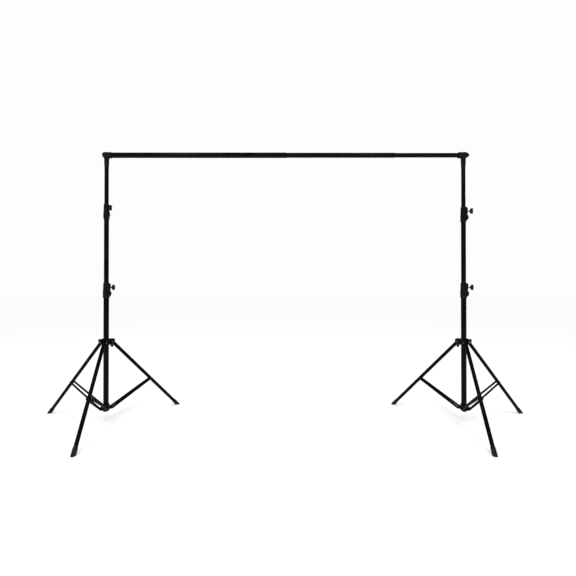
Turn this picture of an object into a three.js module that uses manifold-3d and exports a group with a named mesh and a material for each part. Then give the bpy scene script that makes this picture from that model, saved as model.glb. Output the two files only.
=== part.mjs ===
// A portable background support: two folding light stands that carry a telescopic crossbar for a
// hanging backdrop. Millimetres, +Z up, the floor at z = 0, X along the crossbar, -Y towards the viewer.
//
// Each stand is a column on a folding tripod. The legs hang from a spider that slides on the column,
// and pairs of flat struts tie them to a collar at the column's foot. Two thinner tubes slide out of
// the column, each held by a clamp with a wing knob. A spigot on the top tube carries the crossbar's
// end fitting.
import * as THREE from "three";
import { mergeVertices } from "three/addons/utils/BufferGeometryUtils.js";
import Module from "manifold-3d";

const wasm = await Module();
wasm.setup();

// ---- driving dimensions -----------------------------------------------------------------------

const SPAN = 3050; // between the two columns' axes
const BAR_Z = 2260; // height of the crossbar's axis
const WALL = 1.5; // wall of every tube
const GAP = 0.3; // clearance between pieces that touch

const COLUMN_OD = 42;
const MID_OD = 37.4;
const TOP_OD = 32.8;
const COLUMN_BOTTOM = 84;
const COLUMN_TOP = 1104;
const MID_LENGTH = 940;
const MID_TOPS = { left: 1776, right: 1752 }; // the two stands are set a little differently
const TOP_LENGTH = 880;

const LEG_OD = 28;
const FOOT_REACH = 619; // column axis to the point where a leg's axis meets the floor
const SPIDER_Z = 664; // height of the leg pivots
const SPIDER_R = 48; // column axis to a leg pivot
const STRUT_BASE_Z = 104; // height of the struts' lower pivots
const STRUT_BASE_R = 42;
const STRUT_SHARE = 0.55; // how far down the leg its strut is pinned
const LEG_AZIMUTHS = { a: 165, b: 281, c: 39 }; // degrees, left stand; the right stand mirrors them

const BAR_OUTER_OD = 44;
const BAR_MID_OD = 40.4;
const BAR_INNER_OD = 36.8;
const BAR_OUTER_END = 10; // x where the outer tube ends
const BAR_MID_END = 940; // x where the middle tube ends
const BAR_MID_OVERLAP = 500; // length of the middle tube that stays in the outer one
const BAR_INNER_OVERLAP = 700; // length of the inner tube that stays in the middle one
const BAR_SEAT = 15; // how far from the column axes the end tubes of the crossbar start

const FOOT_OD = 34;
const FOOT_LENGTH = 58;
const PIN_OD = 6; // pins and bolts that the legs and struts turn on
const RIVET_OD = 9; // where a strut is pinned to its leg
const HEAD_OD = 11; // heads of bolts and rivets

const TUBE_SIDES = 24;
const ROUND_SIDES = 16;
const SMALL_SIDES = 10;

const COLOURS = {
  tube: { color: 0x14140f, roughness: 0.34, metalness: 0.85 },
  casting: { color: 0x12120d, roughness: 0.62, metalness: 0.0 },
  strut: { color: 0x11110e, roughness: 0.42, metalness: 0.7 },
  rubber: { color: 0x0c0c0b, roughness: 0.85, metalness: 0.0 },
  knob: { color: 0x10100e, roughness: 0.5, metalness: 0.0 },
  steel: { color: 0x8c8c88, roughness: 0.35, metalness: 1.0 },
};

// ---- solids -----------------------------------------------------------------------------------

// A closed three.js geometry as a manifold-3d solid.
function solid(geometry) {
  const plain = (geometry.index ? geometry.toNonIndexed() : geometry).clone();
  plain.deleteAttribute("normal");
  plain.deleteAttribute("uv");
  const merged = mergeVertices(plain, 1e-3);
  const corners = merged.index.array;
  const make = (triVerts) =>
    new wasm.Manifold(
      new wasm.Mesh({
        numProp: 3,
        vertProperties: merged.attributes.position.array,
        triVerts,
      }),
    );
  const triangles = new Uint32Array(corners);
  const made = make(triangles);
  if (made.volume() > 0) return made;
  for (let i = 0; i < triangles.length; i += 3)
    [triangles[i + 1], triangles[i + 2]] = [triangles[i + 2], triangles[i + 1]];
  return make(triangles);
}

// The solid as a named mesh.
function piece(name, shape, material) {
  const { numProp, numVert, vertProperties, triVerts } = shape.getMesh();
  const position = new Float32Array(numVert * 3);
  for (let i = 0; i < numVert; i++)
    position.set(
      vertProperties.subarray(i * numProp, i * numProp + 3),
      i * 3,
    );
  const geometry = new THREE.BufferGeometry()
    .setAttribute("position", new THREE.BufferAttribute(position, 3))
    .setIndex(new THREE.BufferAttribute(new Uint32Array(triVerts), 1));
  geometry.computeVertexNormals();
  const mesh = new THREE.Mesh(
    geometry,
    new THREE.MeshStandardMaterial(COLOURS[material]),
  );
  mesh.name = name;
  return mesh;
}

// A solid of revolution about Z, from points [radius, z].
function turned(profile, sides = ROUND_SIDES) {
  const points = profile.map(([r, z]) => new THREE.Vector2(r, z));
  return solid(new THREE.LatheGeometry(points, sides).rotateX(Math.PI / 2));
}

// A round bar about Z from one height to another.
function rod(diameter, from, to, sides = ROUND_SIDES) {
  const r = diameter / 2;
  return turned([[0, from], [r, from], [r, to], [0, to]], sides);
}

// A tube about Z.
function pipe(outer, inner, from, to, sides = TUBE_SIDES) {
  const [ro, ri] = [outer / 2, inner / 2];
  return turned([[ri, from], [ro, from], [ro, to], [ri, to], [ri, from]], sides);
}

// A box between two corners.
function block([x0, y0, z0], [x1, y1, z1]) {
  return solid(
    new THREE.BoxGeometry(x1 - x0, y1 - y0, z1 - z0).translate(
      (x0 + x1) / 2,
      (y0 + y1) / 2,
      (z0 + z1) / 2,
    ),
  );
}

// A plate of an outline drawn in the X-Z plane, centred on y = 0.
function plate(outline, thickness) {
  return solid(
    new THREE.ExtrudeGeometry(outline, {
      depth: thickness,
      bevelEnabled: false,
      curveSegments: 6,
    })
      .translate(0, 0, -thickness / 2)
      .rotateX(Math.PI / 2),
  );
}

// A round bar that lies along Y through a point of the X-Z plane.
function crossPin(diameter, x, z, halfLength, sides = SMALL_SIDES) {
  return rod(diameter, -halfLength, halfLength, sides)
    .rotate([90, 0, 0])
    .translate([x, 0, z]);
}

// An outline with two round ends, from one point of the X-Z plane to another.
function slotOutline([x0, z0], [x1, z1], width) {
  const along = Math.atan2(z1 - z0, x1 - x0);
  const shape = new THREE.Shape();
  shape.absarc(x0, z0, width / 2, along + Math.PI / 2, along - Math.PI / 2, false);
  shape.absarc(x1, z1, width / 2, along - Math.PI / 2, along + Math.PI / 2, false);
  shape.closePath();
  return shape;
}

// ---- one tripod leg, in its own radial plane: x outwards from the column, z up -------------------

const legTop = new THREE.Vector2(SPIDER_R, SPIDER_Z);
const legFloor = new THREE.Vector2(FOOT_REACH, 0);
const legAxis = legFloor.clone().sub(legTop).normalize();
const legTilt = (Math.atan2(legAxis.x, -legAxis.y) * 180) / Math.PI; // from straight down
const legLength = legFloor.distanceTo(legTop);
const strutPin = legTop.clone().addScaledVector(legAxis, legLength * STRUT_SHARE);
const strutBase = new THREE.Vector2(STRUT_BASE_R, STRUT_BASE_Z);

// Puts a shape modelled along -Z from the origin onto the leg's axis.
const onLeg = (shape) =>
  shape.rotate([0, -legTilt, 0]).translate([legTop.x, 0, legTop.y]);

const LEG_HEAD = 9; // the tube past its pivot
const LEG_END = 18; // how far the tube stops short of the floor, inside its foot
const STRUT_THICK = 4;
const STRUT_WIDTH = 18;
const STRUT_AT_LEG = LEG_OD / 2 + 3; // from the leg's plane to the middle of a strut bar
const STRUT_AT_BASE = 27; // the same at the column's foot, where the two bars stand wider apart

function leg() {
  const bottom = legLength - LEG_END;
  const tube = pipe(LEG_OD, LEG_OD - 2 * WALL, -bottom, LEG_HEAD);
  const rivet = crossPin(RIVET_OD, 0, -legLength * STRUT_SHARE, LEG_OD / 2 + 2 * GAP);
  const pivotHole = crossPin(PIN_OD + 2 * GAP, 0, 0, LEG_OD);
  return onLeg(tube.add(rivet).subtract(pivotHole));
}

function foot() {
  const top = -legLength + FOOT_LENGTH;
  const shoulder = top - 6;
  const r = FOOT_OD / 2;
  const cap = turned([
    [0, -legLength - r],
    [r * 0.55, -legLength - r * 0.83],
    [r * 0.9, -legLength - r * 0.42],
    [r, -legLength],
    [r, -legLength + 12],
    [r - 1.2, -legLength + 14],
    [r - 1.2, shoulder],
    [r - 2.2, top],
    [0, top],
  ]);
  const socket = rod(LEG_OD + 2 * GAP, -legLength + LEG_END - 1, top + 1);
  const hollow = onLeg(cap.subtract(socket));
  const ground = block([0, -60, -100], [FOOT_REACH + 100, 60, 0]);
  return hollow.subtract(ground);
}

// A pair of flat bars that taper towards the leg, with the pin at the column's foot and the heads of
// the rivet at the leg. Modelled along +X from the pin, then tilted up to the leg.
function strut() {
  const line = strutPin.clone().sub(strutBase);
  const length = line.length();
  const taper = Math.asin((STRUT_AT_BASE - STRUT_AT_LEG) / length);
  const flat = plate(slotOutline([0, 0], [length, 0], STRUT_WIDTH), STRUT_THICK);
  const bar = (side) =>
    flat
      .rotate([0, 0, (-side * taper * 180) / Math.PI])
      .translate([0, side * STRUT_AT_BASE, 0]);
  const headAt = STRUT_AT_LEG + STRUT_THICK / 2 + 1;
  const head = (side) => crossPin(HEAD_OD, length, 0, 1.4).translate([0, side * headAt, 0]);
  const pin = crossPin(PIN_OD, 0, 0, STRUT_AT_BASE + STRUT_THICK / 2 + 2);
  return bar(1)
    .add(bar(-1))
    .add(head(1))
    .add(head(-1))
    .add(pin)
    .rotate([0, (-line.angle() * 180) / Math.PI, 0])
    .translate([strutBase.x, 0, strutBase.y]);
}

const EAR_GAP = LEG_OD + 1.4;
const EAR_THICK = 4.5;
const EAR_REACH = 65;

function legBolt() {
  const half = EAR_GAP / 2 + EAR_THICK;
  const headOut = (side, sides) =>
    crossPin(HEAD_OD, SPIDER_R, SPIDER_Z, 2, sides).translate([0, side * (half + 2.2), 0]);
  return crossPin(PIN_OD, SPIDER_R, SPIDER_Z, half + 4)
    .add(headOut(1, 6))
    .add(headOut(-1, SMALL_SIDES));
}

// ---- castings round the column ----------------------------------------------------------------

const SPIDER_WALL = 8.5; // of the spider's ring
const COLLAR_WALL = 6.5;
const COLLAR_HEIGHT = 52;
const SPIDER_BOTTOM = SPIDER_Z - 24;
const SPIDER_TOP = SPIDER_Z + 28;
const SPIDER_KNOB_Z = SPIDER_Z - 14;
const SPIDER_KNOB_REACH = 34; // the spider's knob boss, from the column's axis

// One pair of ears that a leg's head turns between.
function earPair() {
  const outline = new THREE.Shape();
  outline.moveTo(18, SPIDER_BOTTOM + 5);
  outline.lineTo(SPIDER_R + 3, SPIDER_BOTTOM + 8);
  outline.lineTo(EAR_REACH - 3, SPIDER_Z - 9);
  outline.lineTo(EAR_REACH, SPIDER_Z + 2);
  outline.lineTo(EAR_REACH, SPIDER_TOP - 8);
  outline.lineTo(EAR_REACH - 5, SPIDER_TOP - 2);
  outline.lineTo(18, SPIDER_TOP - 2);
  outline.closePath();
  const ear = plate(outline, EAR_THICK);
  const offset = (EAR_GAP + EAR_THICK) / 2;
  return ear
    .translate([0, offset, 0])
    .add(ear.translate([0, -offset, 0]))
    .subtract(crossPin(PIN_OD + 2 * GAP, SPIDER_R, SPIDER_Z, EAR_GAP));
}

// A boss on a casting's side, with a hole for the knob's screw, pointing along +X.
function knobBoss(z, reach, diameter) {
  const boss = rod(diameter, 0, reach, SMALL_SIDES).rotate([0, 90, 0]);
  return boss.translate([0, 0, z]);
}

const SCREW_OD = 7;
const screwHole = (z) =>
  rod(SCREW_OD + 2 * GAP, 0, 60, SMALL_SIDES).rotate([0, 90, 0]).translate([0, 0, z]);

function spider(azimuths, knobAzimuth) {
  const ring = rod(COLUMN_OD + 2 * SPIDER_WALL, SPIDER_BOTTOM, SPIDER_TOP, TUBE_SIDES);
  const bore = rod(COLUMN_OD + 2 * GAP, SPIDER_BOTTOM - 1, SPIDER_TOP + 1, TUBE_SIDES);
  let shape = ring.add(
    knobBoss(SPIDER_KNOB_Z, SPIDER_KNOB_REACH, 18).rotate([0, 0, knobAzimuth]),
  );
  for (const azimuth of azimuths) shape = shape.add(earPair().rotate([0, 0, azimuth]));
  return shape
    .subtract(bore)
    .subtract(screwHole(SPIDER_KNOB_Z).rotate([0, 0, knobAzimuth]));
}

// The collar at the column's foot: a ring with one lug for each strut.
function baseCollar(azimuths) {
  const [low, high] = [COLUMN_BOTTOM, COLUMN_BOTTOM + COLLAR_HEIGHT];
  const width = 2 * STRUT_AT_BASE - STRUT_THICK - 1;
  const lugOutline = new THREE.Shape();
  lugOutline.moveTo(18, STRUT_BASE_Z - 10);
  lugOutline.lineTo(STRUT_BASE_R, STRUT_BASE_Z - 8);
  lugOutline.absarc(STRUT_BASE_R, STRUT_BASE_Z, 8, -Math.PI / 2, Math.PI / 2, false);
  lugOutline.lineTo(18, STRUT_BASE_Z + 12);
  lugOutline.closePath();
  const lug = plate(lugOutline, width).subtract(
    crossPin(PIN_OD + 2 * GAP, STRUT_BASE_R, STRUT_BASE_Z, width),
  );
  let shape = rod(COLUMN_OD + 2 * COLLAR_WALL, low, high, TUBE_SIDES);
  for (const azimuth of azimuths) shape = shape.add(lug.rotate([0, 0, azimuth]));
  return shape.subtract(rod(COLUMN_OD + 2 * GAP, low - 1, high + 1, TUBE_SIDES));
}

// The plug that closes the column's lower end.
function basePlug() {
  const inside = COLUMN_OD - 2 * WALL - 2 * GAP;
  const flange = COLUMN_BOTTOM - GAP;
  return turned([
    [0, flange - 12],
    [12, flange - 11],
    [20, flange - 7],
    [COLUMN_OD / 2 + 5, flange],
    [inside / 2, flange],
    [inside / 2, flange + 24],
    [0, flange + 24],
  ]);
}

const SPINE_THICK = 17;
const BOLT_HOLE = 6.6; // across the spine, for the bolt that tightens the sleeve
const CLAMP_DROP = 68; // how far a clamp reaches down the outer tube
const CLAMP_RISE = 66; // and up the inner tube
const CLAMP_KNOB_RISE = 26; // the knob's screw above the outer tube's end
const CLAMP_BOLT_DROP = 28; // the bolted boss below it
const BOSS_REACH = 17; // the knob's boss past the inner tube
const LOBE_REACH = 21; // the bolted boss past the outer tube

// The outline of a clamp's spine, which joins its two bosses: x outwards from the column, z up.
function clampSpine(outerOd, innerOd, top) {
  const inner = innerOd / 2 + 2;
  const boss = innerOd / 2 + BOSS_REACH;
  const waist = outerOd / 2 + 11;
  const lobe = outerOd / 2 + LOBE_REACH;
  const boltZ = top - CLAMP_BOLT_DROP;
  const shape = new THREE.Shape();
  shape.moveTo(inner, top + CLAMP_RISE - 2);
  shape.quadraticCurveTo(boss - 4, top + CLAMP_RISE - 4, boss, top + CLAMP_RISE - 16);
  shape.lineTo(boss, top + CLAMP_KNOB_RISE - 10);
  shape.quadraticCurveTo(waist, top + 6, waist, top - 2);
  shape.quadraticCurveTo(lobe, boltZ + 14, lobe, boltZ);
  shape.quadraticCurveTo(lobe, boltZ - 14, waist, boltZ - 19);
  shape.lineTo(inner, top - CLAMP_DROP + 4);
  shape.closePath();
  return plate(shape, SPINE_THICK);
}

// The clamp at the top of a tube: a sleeve on the tube, a neck round the thinner tube that slides in
// it, and a thick spine with the knob's boss above and a bolted boss below.
function clamp(outerOd, innerOd, top, azimuth) {
  const sleeve = outerOd / 2 + 4.5;
  const neck = innerOd / 2 + 5;
  const [low, high] = [top - CLAMP_DROP, top + CLAMP_RISE];
  const knobZ = top + CLAMP_KNOB_RISE;
  const body = turned(
    [
      [0, low],
      [sleeve - 3, low],
      [sleeve, low + 9],
      [sleeve + 1, low + 24],
      [sleeve + 1, top - 6],
      [neck + 1, top + 8],
      [neck, high - 6],
      [neck - 3, high],
      [0, high],
    ],
    TUBE_SIDES,
  );
  const outerBore = rod(outerOd + 2 * GAP, low - 1, top + GAP, TUBE_SIDES);
  const innerBore = rod(innerOd + 2 * GAP, top - 1, high + 1, TUBE_SIDES);
  const boltHole = crossPin(BOLT_HOLE, outerOd / 2 + 12, top - CLAMP_BOLT_DROP, SPINE_THICK);
  return body
    .add(clampSpine(outerOd, innerOd, top))
    .add(knobBoss(knobZ, innerOd / 2 + BOSS_REACH, 22))
    .subtract(outerBore)
    .subtract(innerBore)
    .subtract(screwHole(knobZ))
    .subtract(boltHole)
    .rotate([0, 0, azimuth]);
}

const KNOB_REACH = 26; // the screw from its tip to the knob's hub
const HUB_LENGTH = 30;
const WING_SPAN = 46;
const WING_THICK = 9;

// A wing knob with its screw, about Z: the screw's tip at z = 0.
function wingKnob() {
  const hubTop = KNOB_REACH + HUB_LENGTH;
  const hub = turned(
    [
      [0, 0],
      [SCREW_OD / 2, 0],
      [SCREW_OD / 2, KNOB_REACH],
      [7.5, KNOB_REACH + 1],
      [8.5, hubTop - 4],
      [6.5, hubTop],
      [0, hubTop],
    ],
    SMALL_SIDES,
  );
  const tip = WING_SPAN / 2;
  const wing = new THREE.Shape();
  wing.moveTo(-6, KNOB_REACH + 4);
  wing.quadraticCurveTo(-12, KNOB_REACH + 5, -tip, KNOB_REACH + 12);
  wing.quadraticCurveTo(-tip - 2, hubTop + 2, -tip + 7, hubTop);
  wing.quadraticCurveTo(0, hubTop - 5, tip - 7, hubTop);
  wing.quadraticCurveTo(tip + 2, hubTop + 2, tip, KNOB_REACH + 12);
  wing.quadraticCurveTo(12, KNOB_REACH + 5, 6, KNOB_REACH + 4);
  wing.closePath();
  return hub.add(plate(wing, WING_THICK));
}

// A knob set in its boss: the screw's tip against the tube, the wings upright.
function placedKnob(name, z, tubeOd, azimuth, spin = 0) {
  const turn = new THREE.Group();
  const mesh = piece(name, wingKnob(), "knob");
  mesh.rotation.set(0, Math.PI / 2, spin);
  mesh.position.set(tubeOd / 2 + 1, 0, z);
  turn.add(mesh);
  turn.rotation.z = (azimuth * Math.PI) / 180;
  return turn;
}

// The plastic bush on a sliding tube's lower end, which runs in the tube outside it.
function glideBush(outerId, tubeOd, bottom) {
  const inside = tubeOd - 2 * WALL - 2 * GAP;
  return turned(
    [
      [inside / 2 - 2, bottom - GAP - 16],
      [outerId / 2 - GAP, bottom - GAP - 16],
      [outerId / 2 - GAP, bottom - GAP],
      [inside / 2, bottom - GAP],
      [inside / 2, bottom + 20],
      [inside / 2 - 2, bottom + 20],
      [inside / 2 - 2, bottom - GAP - 16],
    ],
    TUBE_SIDES,
  );
}

// ---- the joint between stand and crossbar -------------------------------------------------------

const FITTING_OD = 52;
const FITTING_IN = 44; // fitting back along the bar
const TIPS = {
  rounded: [[-33, 0.5], [-27, 0.82], [-17, 1]],
  pointed: [[-48, 0.34], [-41, 0.56], [-22, 1]],
}; // x and share of the radius, from the fitting's tip inwards
const BOSS_OD = 40;
const BOSS_DROP = 92; // the boss below the bar's axis
const BOSS_BOTTOM = BAR_Z - BOSS_DROP;
const STUD_OD = 16;
const TOP_END = BOSS_BOTTOM - 5; // upper end of the top tube

// The stud on the top tube: its flange closes the tube and carries the fitting's boss.
function spigot() {
  const inside = TOP_OD - 2 * WALL - 2 * GAP;
  const flange = TOP_OD / 2 + 1.5;
  return turned([
    [0, TOP_END - 30],
    [inside / 2, TOP_END - 30],
    [inside / 2, TOP_END + GAP],
    [flange, TOP_END + GAP],
    [flange, BOSS_BOTTOM - GAP],
    [STUD_OD / 2, BOSS_BOTTOM - GAP],
    [STUD_OD / 2, BOSS_BOTTOM + 70],
    [STUD_OD / 2 - 2, BOSS_BOTTOM + 73],
    [0, BOSS_BOTTOM + 73],
  ]);
}

// The crossbar's end fitting, with the bar leaving along +X.
function endFitting(barOd, tip) {
  const r = FITTING_OD / 2;
  const nose = TIPS[tip].map(([x, share]) => [r * share, x]);
  const body = turned(
    [[0, nose[0][1]], ...nose, [r, FITTING_IN - 9], [r - 2.5, FITTING_IN], [0, FITTING_IN]],
    TUBE_SIDES,
  )
    .rotate([0, 90, 0])
    .translate([0, 0, BAR_Z]);
  const boss = turned([
    [0, BOSS_BOTTOM],
    [BOSS_OD / 2 - 2.5, BOSS_BOTTOM],
    [BOSS_OD / 2 - 1.5, BOSS_BOTTOM + 3],
    [BOSS_OD / 2, BAR_Z - 30],
    [BOSS_OD / 2, BAR_Z],
    [0, BAR_Z],
  ]);
  const studBore = rod(STUD_OD + 2 * GAP, BOSS_BOTTOM - 1, BOSS_BOTTOM + 76);
  const socket = rod(barOd + 2 * GAP, BAR_SEAT - 1, FITTING_IN + 1, TUBE_SIDES)
    .rotate([0, 90, 0])
    .translate([0, 0, BAR_Z]);
  return body.add(boss).subtract(studBore).subtract(socket);
}

// ---- assembly ---------------------------------------------------------------------------------

const SIDES = {
  left: { x: -SPAN / 2, mirror: false, clamps: [-4, -31], spiderKnob: 340 },
  right: { x: SPAN / 2, mirror: true, clamps: [-20, -20], spiderKnob: 200 },
};

// The columns stand off the frame's centre line, so that its origin is under the middle of the
// footprint.
const footprint = Object.values(LEG_AZIMUTHS).map(
  (azimuth) => FOOT_REACH * Math.sin((azimuth * Math.PI) / 180),
);
const POST_Y = -(Math.max(...footprint) + Math.min(...footprint)) / 2;

function stand(side) {
  const { x, mirror, clamps, spiderKnob } = SIDES[side];
  const group = new THREE.Group();
  group.position.set(x, POST_Y, 0);
  const legs = Object.entries(LEG_AZIMUTHS).map(([letter, azimuth]) => [
    letter,
    mirror ? 180 - azimuth : azimuth,
  ]);
  const azimuths = legs.map(([, azimuth]) => azimuth);
  const add = (name, shape, material) =>
    group.add(piece(`${side}_${name}`, shape, material));

  const [columnId, midId, topId] = [COLUMN_OD, MID_OD, TOP_OD].map((d) => d - 2 * WALL);
  const midTop = MID_TOPS[side];
  const midBottom = midTop - MID_LENGTH;
  const topBottom = TOP_END - TOP_LENGTH;
  add("column_tube", pipe(COLUMN_OD, columnId, COLUMN_BOTTOM, COLUMN_TOP), "tube");
  add("mid_tube", pipe(MID_OD, midId, midBottom, midTop), "tube");
  add("top_tube", pipe(TOP_OD, topId, topBottom, TOP_END), "tube");
  add("mid_bush", glideBush(columnId, MID_OD, midBottom), "casting");
  add("top_bush", glideBush(midId, TOP_OD, topBottom), "casting");
  add("spigot", spigot(), "steel");
  add("base_plug", basePlug(), "casting");
  add("base_collar", baseCollar(azimuths), "casting");
  add("leg_spider", spider(azimuths, spiderKnob), "casting");
  add("lower_clamp", clamp(COLUMN_OD, MID_OD, COLUMN_TOP, clamps[0]), "casting");
  add("upper_clamp", clamp(MID_OD, TOP_OD, midTop, clamps[1]), "casting");
  group.add(
    placedKnob(`${side}_lower_knob`, COLUMN_TOP + CLAMP_KNOB_RISE, MID_OD, clamps[0]),
    placedKnob(`${side}_upper_knob`, midTop + CLAMP_KNOB_RISE, TOP_OD, clamps[1]),
    placedKnob(`${side}_spider_knob`, SPIDER_KNOB_Z, COLUMN_OD, spiderKnob),
  );
  for (const [letter, azimuth] of legs) {
    const radial = new THREE.Group();
    radial.rotation.z = (azimuth * Math.PI) / 180;
    radial.add(
      piece(`${side}_leg_${letter}`, leg(), "tube"),
      piece(`${side}_foot_${letter}`, foot(), "rubber"),
      piece(`${side}_strut_${letter}`, strut(), "strut"),
      piece(`${side}_leg_bolt_${letter}`, legBolt(), "steel"),
    );
    group.add(radial);
  }
  return group;
}

// A crossbar tube along X.
function barTube(name, outerOd, from, to) {
  const mesh = piece(name, pipe(outerOd, outerOd - 2 * WALL, from, to), "tube");
  mesh.rotation.y = Math.PI / 2;
  mesh.position.set(0, POST_Y, BAR_Z);
  return mesh;
}

// The plug in a crossbar tube's inner end. Its head guides the tube inside the tube round it.
function guidePlug(name, tubeOd, end) {
  const head = tubeOd / 2 + GAP / 2;
  const stem = tubeOd / 2 - WALL - GAP;
  const shape = turned([
    [0, end - 20],
    [head - 1.5, end - 20],
    [head - 0.5, end - 17],
    [head - 0.5, end - GAP],
    [stem, end - GAP],
    [stem, end + 22],
    [0, end + 22],
  ]);
  const mesh = piece(name, shape, "casting");
  mesh.rotation.y = Math.PI / 2;
  mesh.position.set(0, POST_Y, BAR_Z);
  return mesh;
}

function crossbar() {
  const group = new THREE.Group();
  const seat = SPAN / 2 - BAR_SEAT;
  const midStart = BAR_OUTER_END - BAR_MID_OVERLAP;
  const innerStart = BAR_MID_END - BAR_INNER_OVERLAP;
  const leftFitting = piece("left_end_fitting", endFitting(BAR_OUTER_OD, "rounded"), "casting");
  const rightFitting = piece("right_end_fitting", endFitting(BAR_INNER_OD, "pointed"), "casting");
  leftFitting.position.set(-SPAN / 2, POST_Y, 0);
  rightFitting.position.set(SPAN / 2, POST_Y, 0);
  rightFitting.rotation.z = Math.PI;
  group.add(
    barTube("bar_outer_tube", BAR_OUTER_OD, -seat, BAR_OUTER_END),
    barTube("bar_mid_tube", BAR_MID_OD, midStart, BAR_MID_END),
    barTube("bar_inner_tube", BAR_INNER_OD, innerStart, seat),
    guidePlug("bar_mid_plug", BAR_MID_OD, midStart),
    guidePlug("bar_inner_plug", BAR_INNER_OD, innerStart),
    leftFitting,
    rightFitting,
  );
  return group;
}

const support = new THREE.Group();
support.add(stand("left"), stand("right"), crossbar());

export default support;
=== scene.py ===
import math

import bmesh
import bpy
from mathutils import Matrix, Vector


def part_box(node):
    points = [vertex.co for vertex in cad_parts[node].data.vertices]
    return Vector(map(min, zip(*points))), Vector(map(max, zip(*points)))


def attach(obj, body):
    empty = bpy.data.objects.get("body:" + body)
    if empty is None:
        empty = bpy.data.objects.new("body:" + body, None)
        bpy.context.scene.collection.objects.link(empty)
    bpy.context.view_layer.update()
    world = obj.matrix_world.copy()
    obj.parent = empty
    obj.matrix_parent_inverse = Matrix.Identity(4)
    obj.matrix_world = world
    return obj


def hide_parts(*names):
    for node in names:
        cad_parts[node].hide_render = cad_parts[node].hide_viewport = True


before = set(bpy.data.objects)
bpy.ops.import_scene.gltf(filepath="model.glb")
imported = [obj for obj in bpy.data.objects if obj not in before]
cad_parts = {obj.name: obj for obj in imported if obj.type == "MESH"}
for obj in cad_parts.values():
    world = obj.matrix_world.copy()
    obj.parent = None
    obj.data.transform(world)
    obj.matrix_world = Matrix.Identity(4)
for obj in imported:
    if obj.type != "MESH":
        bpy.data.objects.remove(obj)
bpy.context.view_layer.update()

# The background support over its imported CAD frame. Metres, +X along the crossbar, -Y to the camera.

# ---- dimensions the frame doesn't state -------------------------------------------------------

SIDES = ("left", "right")
LETTERS = ("a", "b", "c")
LEG_AZIMUTHS = {"a": 165, "b": 281, "c": 39}  # degrees, left stand; the right stand mirrors them
WALL = 0.0015
LEG_R = 0.014
FOOT_REACH = 0.619  # column axis to where a leg's axis meets the floor
SPIDER_R = 0.048  # column axis to a leg's pivot
SPIDER_Z = 0.664
STRUT_BASE_R = 0.042
STRUT_BASE_Z = 0.104
STRUT_SHARE = 0.55  # how far down the leg its strut is pinned
STRUT_THICK = 0.004
STRUT_WIDTH = 0.018
STRUT_AT_LEG = LEG_R + 0.003  # from the leg's plane to the middle of a bar
STRUT_AT_BASE = 0.027
LEG_HEAD = 0.009  # the leg tube past its pivot
LEG_END = 0.018  # how far it stops short of the floor
FOOT_R = 0.017
FOOT_LENGTH = 0.058
PIN_R = 0.003
RIVET_R = 0.0045
EAR_HALF_GAP = LEG_R + 0.0007  # from the leg's plane to the spider's ears
EAR_THICK = 0.0045
SPINE_HALF = 0.0085  # half the thickness of a clamp's spine
BOLT_OUT = 0.012  # from an outer tube's surface to its clamp's bolt
CLAMP_BOLT_DROP = 0.028  # and below that tube's end
CLAMPS = {  # azimuths of the clamps' knobs, in degrees
    ("left", "lower"): -4,
    ("left", "upper"): -31,
    ("right", "lower"): -20,
    ("right", "upper"): -20,
}


def centre(node):
    low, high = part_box(node)
    return Vector([(a + b) / 2 for a, b in zip(low, high)])


POST = {side: centre(f"{side}_column_tube").to_2d() for side in SIDES}

# ---- camera, floor and light ------------------------------------------------------------------

CAMERA_DISTANCE = 2.80  # in front of the plane of the two posts
CAMERA_X = 0.026
CAMERA_Z = 1.110
CAMERA_PITCH = math.radians(0.3)  # upwards
LENS = 20.5


def make_camera():
    data = bpy.data.cameras.new("camera")
    data.lens = LENS
    data.sensor_width = 36
    data.clip_end = 200
    camera = bpy.data.objects.new("camera", data)
    camera.location = (CAMERA_X, POST["left"].y - CAMERA_DISTANCE, CAMERA_Z)
    camera.rotation_euler = (math.pi / 2 + CAMERA_PITCH, 0, 0)
    bpy.context.collection.objects.link(camera)
    bpy.context.scene.camera = camera
    bpy.context.scene.view_settings.view_transform = "Standard"  # so that white paper stays white


def area_light(name, place, size, power, target, colour=(1, 1, 1)):
    data = bpy.data.lights.new(name, "AREA")
    data.shape = "RECTANGLE"
    data.size, data.size_y = size
    data.energy = power
    data.color = colour
    lamp = bpy.data.objects.new(name, data)
    lamp.location = place
    lamp.rotation_euler = (Vector(target) - Vector(place)).to_track_quat("-Z", "Y").to_euler()
    bpy.context.collection.objects.link(lamp)


def node_tree(material_or_world):
    material_or_world.use_nodes = True
    tree = material_or_world.node_tree
    tree.nodes.clear()
    return tree


# The room: pale to the camera and to the floor, dimmer in reflections, as a studio with dark walls.
def make_world():
    world = bpy.data.worlds.new("studio")
    bpy.context.scene.world = world
    tree = node_tree(world)
    path = tree.nodes.new("ShaderNodeLightPath")
    pale = tree.nodes.new("ShaderNodeBackground")
    pale.inputs["Color"].default_value = (0.985, 0.98, 0.985, 1)
    pale.inputs["Strength"].default_value = 1.0
    dim = tree.nodes.new("ShaderNodeBackground")
    dim.inputs["Color"].default_value = (0.95, 0.96, 0.9, 1)
    dim.inputs["Strength"].default_value = 0.05
    mix = tree.nodes.new("ShaderNodeMixShader")
    out = tree.nodes.new("ShaderNodeOutputWorld")
    tree.links.new(path.outputs["Is Glossy Ray"], mix.inputs[0])
    tree.links.new(pale.outputs[0], mix.inputs[1])
    tree.links.new(dim.outputs[0], mix.inputs[2])
    tree.links.new(mix.outputs[0], out.inputs[0])


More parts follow.
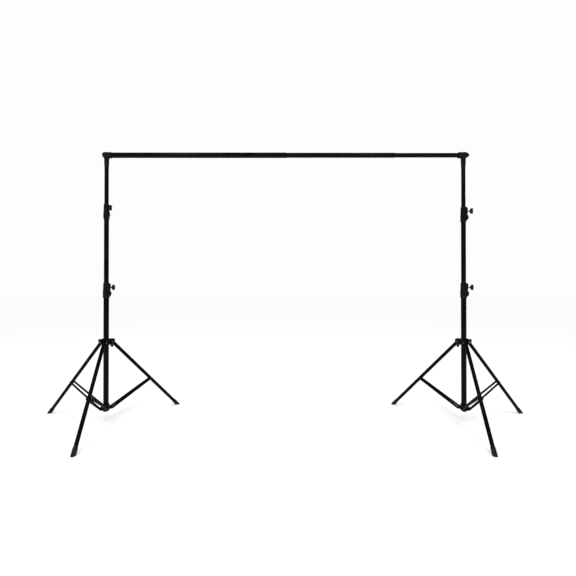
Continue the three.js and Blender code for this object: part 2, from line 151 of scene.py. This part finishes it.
def make_floor():
    mesh = bpy.data.meshes.new("floor")
    size = 60
    mesh.from_pydata(
        [(-size, -size, 0), (size, -size, 0), (size, size, 0), (-size, size, 0)], [], [(0, 1, 2, 3)]
    )
    floor = bpy.data.objects.new("floor", mesh)
    bpy.context.collection.objects.link(floor)
    material = bpy.data.materials.new("floor_paper")
    tree = node_tree(material)
    diffuse = tree.nodes.new("ShaderNodeBsdfDiffuse")
    diffuse.inputs["Color"].default_value = (0.985, 0.982, 0.985, 1)
    out = tree.nodes.new("ShaderNodeOutputMaterial")
    tree.links.new(diffuse.outputs[0], out.inputs[0])
    mesh.materials.append(material)


# Two narrow softboxes high in front of the stands, and a weak warm fill from the front left.
def make_lights():
    y = POST["left"].y
    for side, x in (("left", -1.9), ("right", 1.9)):
        area_light(f"softbox_{side}", (x, y - 2.1, 4.4), (0.45, 1.6), 36, (x * 0.8, -0.3, 0.3))
    area_light("front_fill", (-2.4, y - 4.5, 3.4), (1.6, 1.6), 22, (0, 0, 1.2), (1, 0.99, 0.93))


make_camera()
make_world()
make_floor()
make_lights()

# ---- materials --------------------------------------------------------------------------------


class Nodes:
    """A short way to build a node tree round one Principled shader."""

    def __init__(self, name):
        self.material = bpy.data.materials.new(name)
        self.tree = node_tree(self.material)
        self.shader = self.add("ShaderNodeBsdfPrincipled")
        out = self.add("ShaderNodeOutputMaterial")
        self.link(self.shader.outputs[0], out.inputs[0])
        self.coordinates = self.add("ShaderNodeTexCoord").outputs["Object"]

    def add(self, kind, **values):
        node = self.tree.nodes.new(kind)
        for key, value in values.items():
            setattr(node, key, value)
        return node

    def link(self, a, b):
        self.tree.links.new(a, b)

    def stretched(self, x, y, z):
        mapping = self.add("ShaderNodeMapping")
        mapping.inputs["Scale"].default_value = (x, y, z)
        self.link(self.coordinates, mapping.inputs["Vector"])
        return mapping.outputs[0]

    def noise(self, scale, detail=3.0, vector=None, roughness=0.5):
        node = self.add("ShaderNodeTexNoise")
        node.inputs["Scale"].default_value = scale
        node.inputs["Detail"].default_value = detail
        node.inputs["Roughness"].default_value = roughness
        self.link(vector or self.coordinates, node.inputs["Vector"])
        return node.outputs[0]

    def ramp(self, value, low, high, start=0.3, end=0.7):
        node = self.add("ShaderNodeMapRange")
        node.inputs["From Min"].default_value = start
        node.inputs["From Max"].default_value = end
        node.inputs["To Min"].default_value = low
        node.inputs["To Max"].default_value = high
        self.link(value, node.inputs["Value"])
        return node.outputs[0]

    def mixed(self, factor, first, second):
        node = self.add("ShaderNodeMix", data_type="RGBA")
        for socket, value in ((node.inputs[6], first), (node.inputs[7], second)):
            if isinstance(value, tuple):
                socket.default_value = (*value, 1)
            else:
                self.link(value, socket)
        self.link(factor, node.inputs[0])
        return node.outputs[2]

    def product(self, a, b):
        node = self.add("ShaderNodeMath", operation="MULTIPLY")
        self.link(a, node.inputs[0])
        self.link(b, node.inputs[1])
        return node.outputs[0]

    def bump(self, height, distance, strength=1.0, normal=None):
        node = self.add("ShaderNodeBump")
        node.inputs["Distance"].default_value = distance
        node.inputs["Strength"].default_value = strength
        self.link(height, node.inputs["Height"])
        if normal:
            self.link(normal, node.inputs["Normal"])
        return node.outputs[0]

    def set(self, **values):
        for key, value in values.items():
            socket = self.shader.inputs[key.replace("_", " ")]
            if isinstance(value, (int, float)):
                socket.default_value = value
            elif isinstance(value, tuple):
                socket.default_value = (*value, 1)
            else:
                self.link(value, socket)
        return self.material


# Black enamel: a faint cloud, orange peel, and patches of fine scratches drawn out one way.
def enamel(name, scratch_scale, wear, shine=0.045):
    n = Nodes(name)
    cloud = n.ramp(n.noise(9), 0, 1)
    colour = n.mixed(cloud, (0.0016, 0.0016, 0.0008), (0.0042, 0.0042, 0.0022))
    scratches = n.ramp(n.noise(1.0, 2.0, n.stretched(*scratch_scale)), 0, 1, 0.66, 0.74)
    patches = n.ramp(n.noise(14, 4.0), 0, 1, 0.48, 0.62)
    worn = n.product(scratches, patches)
    faint = n.ramp(worn, 0, wear, 0, 1)
    colour = n.mixed(faint, colour, (0.045, 0.044, 0.039))
    rough = n.ramp(n.noise(38, 4.0), 0.24, 0.42)
    peel = n.bump(n.noise(620, 2.0), 0.00012, 0.55)
    normal = n.bump(worn, 0.00008, 0.5, peel)
    return n.set(
        Base_Color=colour,
        Roughness=rough,
        Normal=normal,
        Specular_IOR_Level=shine,
        Coat_Weight=0.02,
        Coat_Roughness=0.15,
    )


# Moulded black plastic or powder-coated casting: a fine grain, with paler rubbed patches.
def moulded(name, dark, pale, grain, rough):
    n = Nodes(name)
    cloud = n.ramp(n.noise(24, 4.0), 0, 1)
    rubbed = n.ramp(n.noise(75, 5.0, roughness=0.62), 0, 0.5, 0.56, 0.74)
    colour = n.mixed(cloud, dark, pale)
    colour = n.mixed(rubbed, colour, tuple(c * 2.1 for c in pale))
    surface = n.ramp(n.noise(55, 3.0), rough - 0.07, rough + 0.09)
    coarse = n.bump(n.noise(grain, 2.0), 0.0002, 0.6)
    fine = n.bump(n.noise(grain * 3.1, 1.0), 0.00006, 0.5, coarse)
    return n.set(Base_Color=colour, Roughness=surface, Normal=fine, Specular_IOR_Level=0.14)


# Worn rubber: porous, with dust in it.
def rubber():
    n = Nodes("rubber")
    dust = n.ramp(n.noise(60, 5.0, roughness=0.65), 0, 1, 0.42, 0.72)
    colour = n.mixed(dust, (0.0050, 0.0050, 0.0044), (0.024, 0.023, 0.020))
    surface = n.ramp(n.noise(160, 3.0), 0.72, 0.92)
    pores = n.bump(n.noise(1500, 2.0), 0.00018, 0.7)
    return n.set(Base_Color=colour, Roughness=surface, Normal=pores, Specular_IOR_Level=0.25)


# Bright zinc plating, brushed lengthwise and a little spotted.
def zinc():
    n = Nodes("zinc_steel")
    cloud = n.ramp(n.noise(150, 4.0), 0, 1)
    colour = n.mixed(cloud, (0.30, 0.30, 0.28), (0.50, 0.50, 0.47))
    spots = n.ramp(n.noise(420, 4.0), 0, 0.7, 0.60, 0.72)
    colour = n.mixed(spots, colour, (0.11, 0.09, 0.07))
    surface = n.ramp(n.noise(300, 3.0), 0.26, 0.46)
    lines = n.bump(n.noise(1.0, 2.0, n.stretched(2200, 2200, 160)), 0.00005, 0.5)
    return n.set(Base_Color=colour, Roughness=surface, Normal=lines, Metallic=1.0)


# Black zinc plating, for the bolts, rivets and spigots that show against black parts.
def black_zinc():
    n = Nodes("black_zinc")
    cloud = n.ramp(n.noise(180, 4.0), 0, 1)
    colour = n.mixed(cloud, (0.018, 0.018, 0.016), (0.045, 0.045, 0.040))
    edge = n.ramp(n.noise(350, 5.0), 0, 0.6, 0.58, 0.70)
    colour = n.mixed(edge, colour, (0.16, 0.155, 0.145))
    surface = n.ramp(n.noise(240, 3.0), 0.30, 0.48)
    lines = n.bump(n.noise(900, 2.0), 0.00006, 0.5)
    return n.set(Base_Color=colour, Roughness=surface, Normal=lines, Metallic=0.85)


ENAMEL_UP = enamel("black_enamel_upright", (900, 900, 9), 0.16)
ENAMEL_ALONG = enamel("black_enamel_bar", (9, 900, 900), 0.16)
ENAMEL_LEG = enamel("black_enamel_leg", (260, 260, 40), 0.14, 0.03)
ENAMEL_STRUT = enamel("black_enamel_strut", (220, 220, 60), 0.16, 0.012)
CASTING = moulded("moulded_casting", (0.0018, 0.0019, 0.0010), (0.0044, 0.0045, 0.0026), 520, 0.50)
BUSH = moulded("moulded_bush", (0.0070, 0.0070, 0.0066), (0.0130, 0.0130, 0.0120), 700, 0.45)
KNOB = moulded("moulded_knob", (0.0050, 0.0050, 0.0046), (0.0110, 0.0110, 0.0100), 900, 0.42)
RUBBER = rubber()
ZINC = zinc()
BLACK_ZINC = black_zinc()

# ---- pieces -----------------------------------------------------------------------------------


def finished(name, bm, body, material, nodes=(), sharp=35):
    """The mesh as a piece that rides on a CAD body, with its sharp edges kept sharp."""
    bmesh.ops.recalc_face_normals(bm, faces=bm.faces)
    mesh = bpy.data.meshes.new(name)
    bm.to_mesh(mesh)
    bm.free()
    mesh.shade_smooth()
    mesh.set_sharp_from_angle(angle=math.radians(sharp))
    mesh.materials.append(material)
    piece = bpy.data.objects.new(name, mesh)
    bpy.context.collection.objects.link(piece)
    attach(piece, body)
    if nodes:
        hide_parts(*nodes)
    return piece


def lathe(bm, profile, matrix, sides=48, closed=True):
    """A solid of revolution about Z from points (radius, z). A closed profile has a bore."""
    turn = [2 * math.pi * i / sides for i in range(sides)]
    rings = []
    for r, z in profile:
        if r < 1e-6:
            rings.append([bm.verts.new(matrix @ Vector((0, 0, z)))])
            continue
        ring = [Vector((r * math.cos(t), r * math.sin(t), z)) for t in turn]
        rings.append([bm.verts.new(matrix @ point) for point in ring])
    pairs = list(zip(rings, rings[1:])) + ([(rings[-1], rings[0])] if closed else [])
    for a, b in pairs:
        for i in range(sides):
            j = (i + 1) % sides
            corners = [a[i % len(a)], a[j % len(a)], b[j % len(b)], b[i % len(b)]]
            unique = list(dict.fromkeys(corners))
            if len(unique) > 2:
                bm.faces.new(unique)


def rounded(points, radius, steps=3, closed=False):
    """The profile with each inner corner rounded by up to radius."""
    out = []
    count = len(points)
    for i, point in enumerate(points):
        if not closed and i in (0, count - 1):
            out.append(tuple(point))
            continue
        p = Vector(point)
        a = Vector(points[(i - 1) % count]) - p
        b = Vector(points[(i + 1) % count]) - p
        reach = min(radius, a.length * 0.45, b.length * 0.45)
        start = p + a.normalized() * reach
        end = p + b.normalized() * reach
        for k in range(steps + 1):
            t = k / steps
            q = start * (1 - t) ** 2 + p * (2 * t * (1 - t)) + end * t**2
            out.append((q.x, q.y))
    return out


def cut(bm, place, outwards):
    """Takes away what lies on one side of a plane and closes the cut."""
    bmesh.ops.bisect_plane(
        bm,
        geom=bm.verts[:] + bm.edges[:] + bm.faces[:],
        plane_co=place,
        plane_no=outwards,
        clear_outer=True,
    )
    bmesh.ops.holes_fill(bm, edges=[e for e in bm.edges if e.is_boundary], sides=0)


def tube_profile(outer, wall, start, end, lip=0.0005):
    ro, ri = outer, outer - wall
    corners = [(ri, start), (ro, start), (ro, end), (ri, end)]
    return rounded(corners, lip, 2, closed=True)


def along(start, end):
    """A matrix that takes +Z to the line from start to end."""
    start, end = Vector(start), Vector(end)
    turn = (end - start).to_track_quat("Z", "Y").to_matrix().to_4x4()
    return Matrix.Translation(start) @ turn


def tube_radius(upright):
    low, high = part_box(upright)
    return (high[0] - low[0]) / 2


def upright_tube(node, body):
    low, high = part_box(node)
    middle = centre(node)
    r = tube_radius(node)
    bm = bmesh.new()
    matrix = Matrix.Translation((middle.x, middle.y, 0))
    lathe(bm, tube_profile(r, WALL, low[2], high[2]), matrix)
    finished(f"{node}_shell", bm, body, ENAMEL_UP, [node])


def bar_tube(node, body):
    low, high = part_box(node)
    middle = centre(node)
    r = (high[2] - low[2]) / 2
    bm = bmesh.new()
    matrix = along((low[0], middle.y, middle.z), (high[0], middle.y, middle.z))
    lathe(bm, tube_profile(r, WALL, 0, high[0] - low[0], 0.0007), matrix)
    finished(f"{node}_shell", bm, body, ENAMEL_ALONG, [node])


def softened(node, name, body, material, voxel=0.0010, passes=4):
    """A moulded piece: the CAD solid with its edges rounded as a mould leaves them."""
    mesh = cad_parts[node].data.copy()
    mould = bpy.data.objects.new(name, mesh)
    bpy.context.collection.objects.link(mould)
    remesh = mould.modifiers.new("remesh", "REMESH")
    remesh.mode = "VOXEL"
    remesh.voxel_size = voxel
    graph = bpy.context.evaluated_depsgraph_get()
    made = bpy.data.meshes.new_from_object(mould.evaluated_get(graph))
    bpy.data.objects.remove(mould)
    bpy.data.meshes.remove(mesh)
    bm = bmesh.new()
    bm.from_mesh(made)
    bpy.data.meshes.remove(made)
    for _ in range(passes):
        bmesh.ops.smooth_vert(
            bm, verts=bm.verts, factor=0.5, use_axis_x=True, use_axis_y=True, use_axis_z=True
        )
    return finished(name, bm, body, material, [node], sharp=70)


# ---- one stand --------------------------------------------------------------------------------


def leg_frame(side, letter):
    """The matrix of a leg's radial plane: x outwards from the column, z up."""
    azimuth = LEG_AZIMUTHS[letter] if side == "left" else 180 - LEG_AZIMUTHS[letter]
    turn = math.radians(azimuth)
    place = Matrix.Translation((POST[side].x, POST[side].y, 0))
    return place @ Matrix.Rotation(turn, 4, "Z")


LEG_TOP = Vector((SPIDER_R, 0, SPIDER_Z))
LEG_FLOOR = Vector((FOOT_REACH, 0, 0))
LEG_LENGTH = (LEG_FLOOR - LEG_TOP).length
LEG_AXIS = (LEG_FLOOR - LEG_TOP).normalized()
STRUT_PIN = LEG_TOP + LEG_AXIS * (LEG_LENGTH * STRUT_SHARE)
STRUT_BASE = Vector((STRUT_BASE_R, 0, STRUT_BASE_Z))


def make_leg(side, letter):
    """The leg's tube with its strut's rivet through it, and the plug in its upper end."""
    plane = leg_frame(side, letter)
    down = plane @ along(LEG_TOP, LEG_FLOOR)
    node = f"{side}_leg_{letter}"
    bm = bmesh.new()
    lathe(bm, tube_profile(LEG_R, WALL, -LEG_HEAD, LEG_LENGTH - LEG_END, 0.0008), down, 40)
    # the shaft of the rivet that holds the strut pair
    across = plane @ Matrix.Translation(STRUT_PIN) @ Matrix.Rotation(math.pi / 2, 4, "X")
    reach = LEG_R + 0.0006
    shaft = rounded([(0, -reach), (RIVET_R, -reach), (RIVET_R, reach), (0, reach)], 0.0004)
    lathe(bm, shaft, across, 24, closed=False)
    finished(f"{node}_shell", bm, node, ENAMEL_LEG, [node])
    # the moulded plug in the leg's upper end
    bm = bmesh.new()
    inside = LEG_R - WALL - 0.0002
    plug = [(0, 0.012), (inside, 0.012), (inside, -0.0086), (inside - 0.002, -0.0102), (0, -0.0112)]
    lathe(bm, rounded(plug, 0.0006), down, 32, closed=False)
    # it stops short of the leg's bolt
    cut(bm, down @ Vector((0, 0, -0.0045)), down.to_3x3() @ Vector((0, 0, 1)))
    finished(f"{node}_end_plug", bm, node, BUSH)


def make_foot(side, letter):
    """A ribbed rubber cap, worn flat where it meets the floor."""
    plane = leg_frame(side, letter)
    down = plane @ along(LEG_TOP, LEG_FLOOR)
    r = FOOT_R
    bore = LEG_R + 0.0003
    top = LEG_LENGTH - FOOT_LENGTH
    groove = r - 0.0010
    crest = r - 0.0001
    rib_pitch = 0.0064
    outline = [(bore, top), (r - 0.0020, top), (groove, top + 0.004)]
    rib = top + 0.008
    for _ in range(5):
        outline += [(groove, rib), (crest, rib + 0.0016), (crest, rib + 0.0032)]
        outline += [(groove, rib + 0.0046)]
        rib += rib_pitch
    outline += [(groove, rib), (r - 0.0003, rib + 0.003)]
    toe = r - 0.0009
    for k in range(7):
        t = k / 7 * math.pi / 2
        outline.append((toe * math.cos(t), LEG_LENGTH + toe * math.sin(t)))
    socket = LEG_LENGTH - LEG_END + 0.001
    outline += [(0, LEG_LENGTH + toe), (0, socket), (bore, socket)]
    bm = bmesh.new()
    lathe(bm, outline, down, 48)
    bmesh.ops.remove_doubles(bm, verts=bm.verts, dist=1e-6)
    cut(bm, (0, 0, 0), (0, 0, -1))
    node = f"{side}_foot_{letter}"
    finished(f"{node}_rubber", bm, f"{side}_leg_{letter}", RUBBER, [node], 40)


def flat_bar(bm, matrix, length):
    """A flat bar along +X with round ends and softened edges, centred on the X-Z plane."""
    face, edge = STRUT_THICK / 2, 0.0006
    levels = [(face, edge), (face - edge * 0.3, edge * 0.3), (face - edge, 0)]
    rings = []
    for y, inset in [(-y, inset) for y, inset in levels] + levels[::-1]:
        reach = STRUT_WIDTH / 2 - inset
        ring = []
        for end, start in ((0, math.pi / 2), (length, -math.pi / 2)):
            for k in range(13):
                t = start + math.pi * k / 12
                point = Vector((end + reach * math.cos(t), y, reach * math.sin(t)))
                ring.append(bm.verts.new(matrix @ point))
        rings.append(ring)
    for a, b in zip(rings, rings[1:]):
        for i in range(len(a)):
            j = (i + 1) % len(a)
            bm.faces.new([a[i], a[j], b[j], b[i]])
    bm.faces.new(rings[0])
    bm.faces.new(list(reversed(rings[-1])))


def dome_head(r, rise):
    """The profile of a domed head on its washer."""
    base = 0.0005
    points = [(0, -0.0006), (r + 0.0014, -0.0006), (r + 0.0014, 0.0004), (r, base)]
    for k in range(1, 5):
        t = k / 5 * math.pi / 2
        points.append((r * math.cos(t), base + (rise - base) * math.sin(t)))
    return [*points, (0, rise)]


def make_strut(side, letter):
    """A pair of flat bars that taper towards the leg, and the pin and rivet heads that hold them."""
    plane = leg_frame(side, letter)
    node = f"{side}_strut_{letter}"
    line = STRUT_PIN - STRUT_BASE
    length = line.length
    tilt = Matrix.Rotation(-math.atan2(line.z, line.x), 4, "Y")
    home = plane @ Matrix.Translation(STRUT_BASE) @ tilt
    taper = math.asin((STRUT_AT_BASE - STRUT_AT_LEG) / length)
    bm = bmesh.new()
    for sign in (-1, 1):
        lean = Matrix.Rotation(-sign * taper, 4, "Z")
        flat_bar(bm, home @ Matrix.Translation((0, sign * STRUT_AT_BASE, 0)) @ lean, length)
    finished(f"{node}_bars", bm, node, ENAMEL_STRUT, [node])
    bm = bmesh.new()
    pin_reach = STRUT_AT_BASE + STRUT_THICK / 2
    rivet_reach = STRUT_AT_LEG + STRUT_THICK / 2 + 0.0001
    for x, out, head in (
        (0, pin_reach, dome_head(0.0042, 0.0020)),
        (length, rivet_reach, dome_head(0.0050, 0.0022)),
    ):
        for sign in (-1, 1):
            turn = Matrix.Rotation(-sign * math.pi / 2, 4, "X")
            seat = home @ Matrix.Translation((x, sign * out, 0)) @ turn
            lathe(bm, head, seat, 24, closed=False)
    across = home @ Matrix.Rotation(math.pi / 2, 4, "X")
    pin = [(0, -pin_reach), (PIN_R, -pin_reach), (PIN_R, pin_reach), (0, pin_reach)]
    lathe(bm, pin, across, 20, closed=False)
    finished(f"{node}_rivets", bm, node, BLACK_ZINC)


def hexagon(bm, matrix, across_flats, height, dome=0.0):
    """A hex head with its corners chamfered."""
    r = across_flats / math.sqrt(3)
    profile = [(1.0, 0.0), (1.0, height * 0.72), (0.93, height), (0.0, height + dome)]
    rings = []
    for share, z in profile:
        if share == 0:
            rings.append([bm.verts.new(matrix @ Vector((0, 0, z)))])
            continue
        ring = []
        for i in range(24):
            t = 2 * math.pi * i / 24
            reach = across_flats / 2 / math.cos(t % (math.pi / 3) - math.pi / 6)
            if z > 0:
                reach = min(reach, r * 0.985) * share
            point = Vector((reach * math.cos(t), reach * math.sin(t), z))
            ring.append(bm.verts.new(matrix @ point))
        rings.append(ring)
    bm.faces.new(rings[0])
    for a, b in zip(rings, rings[1:]):
        for i in range(24):
            j = (i + 1) % 24
            corners = list(dict.fromkeys([a[i], a[j], b[j % len(b)], b[i % len(b)]]))
            bm.faces.new(corners)


def make_leg_bolt(side, letter):
    """The bolt that a leg folds on: a hex head on one side, a domed nut on the other."""
    plane = leg_frame(side, letter)
    node = f"{side}_leg_bolt_{letter}"
    half = EAR_HALF_GAP + EAR_THICK
    reach = half + 0.003
    bm = bmesh.new()
    across = plane @ Matrix.Translation(LEG_TOP) @ Matrix.Rotation(math.pi / 2, 4, "X")
    shaft = [(0, -reach), (PIN_R, -reach), (PIN_R, reach), (0, reach)]
    lathe(bm, shaft, across, 20, closed=False)
    for sign in (-1, 1):
        turn = Matrix.Rotation(-sign * math.pi / 2, 4, "X")
        seat = plane @ Matrix.Translation(LEG_TOP + Vector((0, sign * half, 0))) @ turn
        washer = rounded([(0, 0.0003), (0.0058, 0.0003), (0.0058, 0.0012), (0, 0.0012)], 0.0003)
        lathe(bm, washer, seat, 32, closed=False)
        lift = seat @ Matrix.Translation((0, 0, 0.0012))
        if sign > 0:
            hexagon(bm, lift, 0.0090, 0.0030, 0.0002)
        else:
            dome = [(0, 0), (0.0048, 0), (0.0048, 0.0012)]
            dome += [(0.0038, 0.0026), (0.0018, 0.0031), (0, 0.0031)]
            lathe(bm, dome, lift, 28, closed=False)
    finished(f"{node}_set", bm, f"{side}_spider", ZINC, [node], 30)


def make_clamp_bolt(side, which, tube, body):
    """The fixed bolt across a clamp's spine, which pinches its sleeve on the tube."""
    turn = Matrix.Rotation(math.radians(CLAMPS[side, which]), 4, "Z")
    home = Matrix.Translation((POST[side].x, POST[side].y, 0)) @ turn
    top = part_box(tube)[1][2]
    spot = Vector((tube_radius(tube) + BOLT_OUT, 0, top - CLAMP_BOLT_DROP))
    half = SPINE_HALF
    bm = bmesh.new()
    across = home @ Matrix.Translation(spot) @ Matrix.Rotation(math.pi / 2, 4, "X")
    lathe(bm, [(0, -half), (0.0029, -half), (0.0029, half), (0, half)], across, 20, closed=False)
    for sign in (-1, 1):
        face = Matrix.Rotation(-sign * math.pi / 2, 4, "X")
        seat = home @ Matrix.Translation(spot + Vector((0, sign * half, 0))) @ face
        washer = rounded([(0, 0.0001), (0.0062, 0.0001), (0.0062, 0.0011), (0, 0.0011)], 0.0003)
        lathe(bm, washer, seat, 32, closed=False)
        lift = seat @ Matrix.Translation((0, 0, 0.0011))
        if sign > 0:
            hexagon(bm, lift, 0.0098, 0.0040, 0.0002)
        else:
            socket = [(0, 0.0022), (0.0026, 0.0022), (0.0026, 0.0048)]
            socket += [(0.0046, 0.0048), (0.0050, 0.0044), (0.0050, 0), (0, 0)]
            lathe(bm, socket, lift, 28, closed=False)
    finished(f"{side}_{which}_clamp_bolt", bm, body, BLACK_ZINC, sharp=30)


def make_bush(node, body):
    """A ring that runs in the outer tube, with a narrower sleeve up inside its own tube."""
    shoulder = 0.0024
    sleeve_wall = 0.0018
    sleeve_length = 0.0203
    low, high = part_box(node)
    middle = centre(node)
    r = tube_radius(node)
    inner = r - shoulder
    bore = inner - sleeve_wall
    step = high[2] - sleeve_length
    bm = bmesh.new()
    outline = [(bore, low[2]), (r, low[2]), (r, step), (inner, step), (inner, high[2]), (bore, high[2])]
    matrix = Matrix.Translation((middle.x, middle.y, 0))
    lathe(bm, rounded(outline, 0.0006, 2, closed=True), matrix, 40)
    finished(f"{node}_ring", bm, body, BUSH, [node])


def make_stand(side):
    column, mid, top, spider = (f"{side}_{part}" for part in ("column", "mid", "top", "spider"))
    upright_tube(f"{side}_column_tube", column)
    upright_tube(f"{side}_mid_tube", mid)
    upright_tube(f"{side}_top_tube", top)
    make_bush(f"{side}_mid_bush", mid)
    make_bush(f"{side}_top_bush", top)
    castings = {
        "lower_clamp": column,
        "upper_clamp": mid,
        "leg_spider": spider,
        "base_collar": column,
        "base_plug": column,
    }
    for casting, body in castings.items():
        node = f"{side}_{casting}"
        softened(node, f"{node}_body", body, CASTING)
    for which, body in (("lower", column), ("upper", mid), ("spider", spider)):
        node = f"{side}_{which}_knob"
        softened(node, f"{node}_wing", node, KNOB, 0.0007, 5)
    make_clamp_bolt(side, "lower", f"{side}_column_tube", column)
    make_clamp_bolt(side, "upper", f"{side}_mid_tube", mid)
    for letter in LETTERS:
        make_leg(side, letter)
        make_foot(side, letter)
        make_strut(side, letter)
        make_leg_bolt(side, letter)
    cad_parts[f"{side}_spigot"].data.materials.clear()
    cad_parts[f"{side}_spigot"].data.materials.append(BLACK_ZINC)


def make_crossbar():
    for part in ("outer", "mid", "inner"):
        bar_tube(f"bar_{part}_tube", f"bar_{part}")
    for part in ("mid", "inner"):
        softened(f"bar_{part}_plug", f"bar_{part}_plug_body", f"bar_{part}", BUSH)
    for side, part in (("left", "outer"), ("right", "inner")):
        softened(f"{side}_end_fitting", f"{side}_end_fitting_body", f"bar_{part}", CASTING)


for side in SIDES:
    make_stand(side)
make_crossbar()
